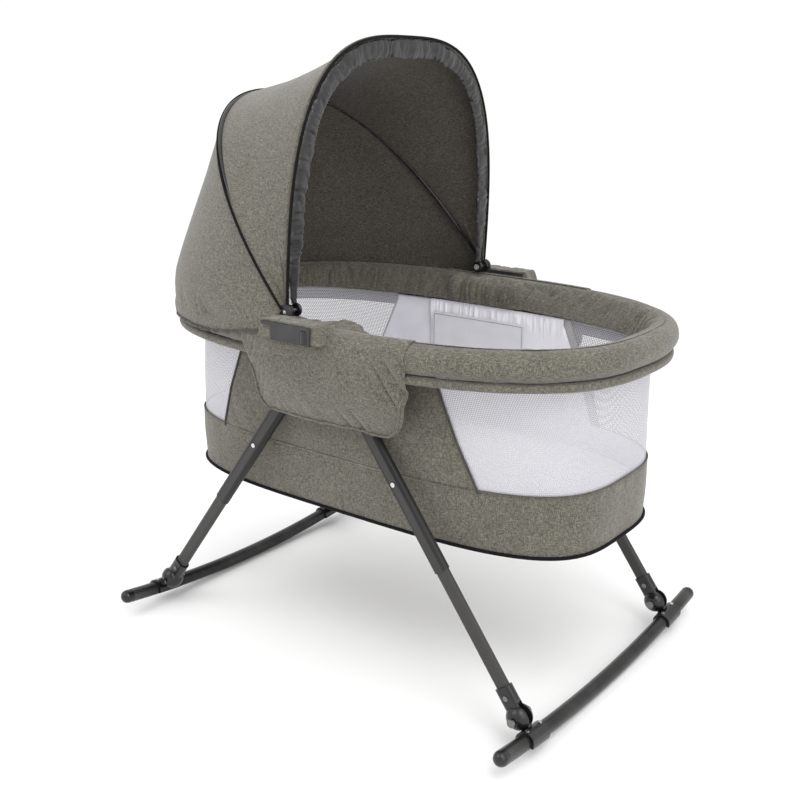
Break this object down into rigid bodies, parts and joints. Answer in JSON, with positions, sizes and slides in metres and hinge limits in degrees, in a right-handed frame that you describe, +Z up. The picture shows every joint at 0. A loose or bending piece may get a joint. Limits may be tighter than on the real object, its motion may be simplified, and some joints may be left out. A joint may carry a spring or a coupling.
{
  "type": "bassinet on stand",
  "caption": "Rocking bassinet: padded oval basket with mesh windows, folding canopy and hinged tubular legs on curved rocker bars.",
  "frame": {"origin": "on the floor, midway between the two rockers and between the two sides", "axes": "+X towards the foot end, -X towards the head end with the canopy, +Y towards the far side, +Z up"},
  "size_m": [0.928, 0.6998, 1.0499],
  "materials": {
    "heather_fabric": "heathered grey-olive woven polyester",
    "dark_lining": "plain dark woven lining",
    "black_piping": "black bias binding over a cord",
    "black_satin": "shiny black nylon, gathered",
    "white_mesh": "white polyester hexagon mesh",
    "white_sheet": "white brushed cotton",
    "dark_tube": "dark grey powder coat, satin",
    "black_plastic": "gloss black moulded plastic",
    "grey_plastic": "dark grey moulded plastic",
    "bright_steel": "zinc plated steel",
    "base_board": "grey fibreboard"
  },
  "bodies": {
    "basket": {"rim_tube_head": "bright_steel", "rim_tube_foot": "bright_steel", "rim_padding_head": "heather_fabric", "rim_padding_foot": "heather_fabric", "hub_housing_near": "black_plastic", "hub_housing_far": "black_plastic", "base_board": "base_board", "base_hoop": "bright_steel", "base_piping": "black_piping", "mattress": "white_sheet", "fabric_band_head": "heather_fabric", "fabric_band_foot": "heather_fabric", "base_cover": "dark_lining", "side_panel_near": "heather_fabric", "side_panel_far": "heather_fabric", "mesh_window_head": "white_mesh", "mesh_window_foot": "white_mesh", "flap_near": "heather_fabric", "flap_far": "heather_fabric", "canopy_bracket_near": "grey_plastic", "canopy_bracket_far": "grey_plastic", "canopy_rivets": "bright_steel", "canopy_rear_shell": "heather_fabric", "leg_pivot_bolts_head": "bright_steel", "leg_pivot_bolts_foot": "bright_steel"},
    "canopy_middle": {"mid_bow": "black_plastic", "canopy_front_shell": "heather_fabric"},
    "canopy_front": {"front_bow": "black_plastic"},
    "head_leg_frame": {"upper_leg_head_near": "dark_tube", "upper_leg_head_far": "dark_tube", "lower_leg_head_near": "dark_tube", "lower_leg_head_far": "dark_tube", "knuckle_head_near": "black_plastic", "knuckle_head_far": "black_plastic", "leg_fasteners_head": "bright_steel"},
    "foot_leg_frame": {"upper_leg_foot_near": "dark_tube", "upper_leg_foot_far": "dark_tube", "lower_leg_foot_near": "dark_tube", "lower_leg_foot_far": "dark_tube", "knuckle_foot_near": "black_plastic", "knuckle_foot_far": "black_plastic", "leg_fasteners_foot": "bright_steel"},
    "head_rocker": {"rocker_tube_head": "dark_tube", "saddles_head": "black_plastic", "rocker_caps_head": "black_plastic", "saddle_screws_head": "bright_steel"},
    "foot_rocker": {"rocker_tube_foot": "dark_tube", "saddles_foot": "black_plastic", "rocker_caps_foot": "black_plastic", "saddle_screws_foot": "bright_steel"},
    "hub_release_near": {"hub_button_near": "grey_plastic"},
    "hub_release_far": {"hub_button_far": "grey_plastic"},
    "clip_release_near": {"clip_tab_near": "black_plastic"},
    "clip_release_far": {"clip_tab_far": "black_plastic"},
    "snap_head_near": {"snap_button_head_near": "bright_steel"},
    "snap_head_far": {"snap_button_head_far": "bright_steel"},
    "snap_foot_near": {"snap_button_foot_near": "bright_steel"},
    "snap_foot_far": {"snap_button_foot_far": "bright_steel"}
  },
  "joints": [
    {"name": "canopy_fold", "type": "hinge", "parent": "basket", "child": "canopy_middle", "pos_m": [-0.038, 0, 0.632], "axis": [0, -1, 0], "range_deg": [0, 45]},
    {"name": "canopy_front_fold", "type": "hinge", "parent": "canopy_middle", "child": "canopy_front", "pos_m": [-0.038, 0, 0.632], "axis": [0, -1, 0], "range_deg": [0, 36]},
    {"name": "head_leg_fold", "type": "hinge", "parent": "basket", "child": "head_leg_frame", "pos_m": [-0.03, 0, 0.54], "axis": [0, 1, 0], "range_deg": [0, 44]},
    {"name": "head_rocker_flip", "type": "hinge", "parent": "head_leg_frame", "child": "head_rocker", "pos_m": [-0.393, 0, 0.0506], "axis": [0, 1, 0], "range_deg": [0, 90]},
    {"name": "foot_leg_fold", "type": "hinge", "parent": "basket", "child": "foot_leg_frame", "pos_m": [0.03, 0, 0.54], "axis": [0, -1, 0], "range_deg": [0, 44]},
    {"name": "foot_rocker_flip", "type": "hinge", "parent": "foot_leg_frame", "child": "foot_rocker", "pos_m": [0.393, 0, 0.0506], "axis": [0, -1, 0], "range_deg": [0, 90]},
    {"name": "hub_release_near_press", "type": "slide", "parent": "basket", "child": "hub_release_near", "axis": [0, 1, 0], "range_m": [0, 0.005], "stiffness_N_per_m": 900, "springref_m": -0.003},
    {"name": "clip_release_near_press", "type": "slide", "parent": "basket", "child": "clip_release_near", "axis": [0, 1, 0], "range_m": [0, 0.003], "stiffness_N_per_m": 700, "springref_m": -0.003},
    {"name": "snap_head_near_press", "type": "slide", "parent": "head_leg_frame", "child": "snap_head_near", "axis": [0, 1, 0], "range_m": [0, 0.0028], "stiffness_N_per_m": 800, "springref_m": -0.003},
    {"name": "snap_foot_near_press", "type": "slide", "parent": "foot_leg_frame", "child": "snap_foot_near", "axis": [0, 1, 0], "range_m": [0, 0.0028], "stiffness_N_per_m": 800, "springref_m": -0.003},
    {"name": "hub_release_far_press", "type": "slide", "parent": "basket", "child": "hub_release_far", "axis": [0, -1, 0], "range_m": [0, 0.005], "stiffness_N_per_m": 900, "springref_m": -0.003},
    {"name": "clip_release_far_press", "type": "slide", "parent": "basket", "child": "clip_release_far", "axis": [0, -1, 0], "range_m": [0, 0.003], "stiffness_N_per_m": 700, "springref_m": -0.003},
    {"name": "snap_head_far_press", "type": "slide", "parent": "head_leg_frame", "child": "snap_head_far", "axis": [0, -1, 0], "range_m": [0, 0.0028], "stiffness_N_per_m": 800, "springref_m": -0.003},
    {"name": "snap_foot_far_press", "type": "slide", "parent": "foot_leg_frame", "child": "snap_foot_far", "axis": [0, -1, 0], "range_m": [0, 0.0028], "stiffness_N_per_m": 800, "springref_m": -0.003}
  ],
  "couplings": [
    {"joint": "canopy_front_fold", "follows": "canopy_fold", "ratio": 0.8}
  ]
}
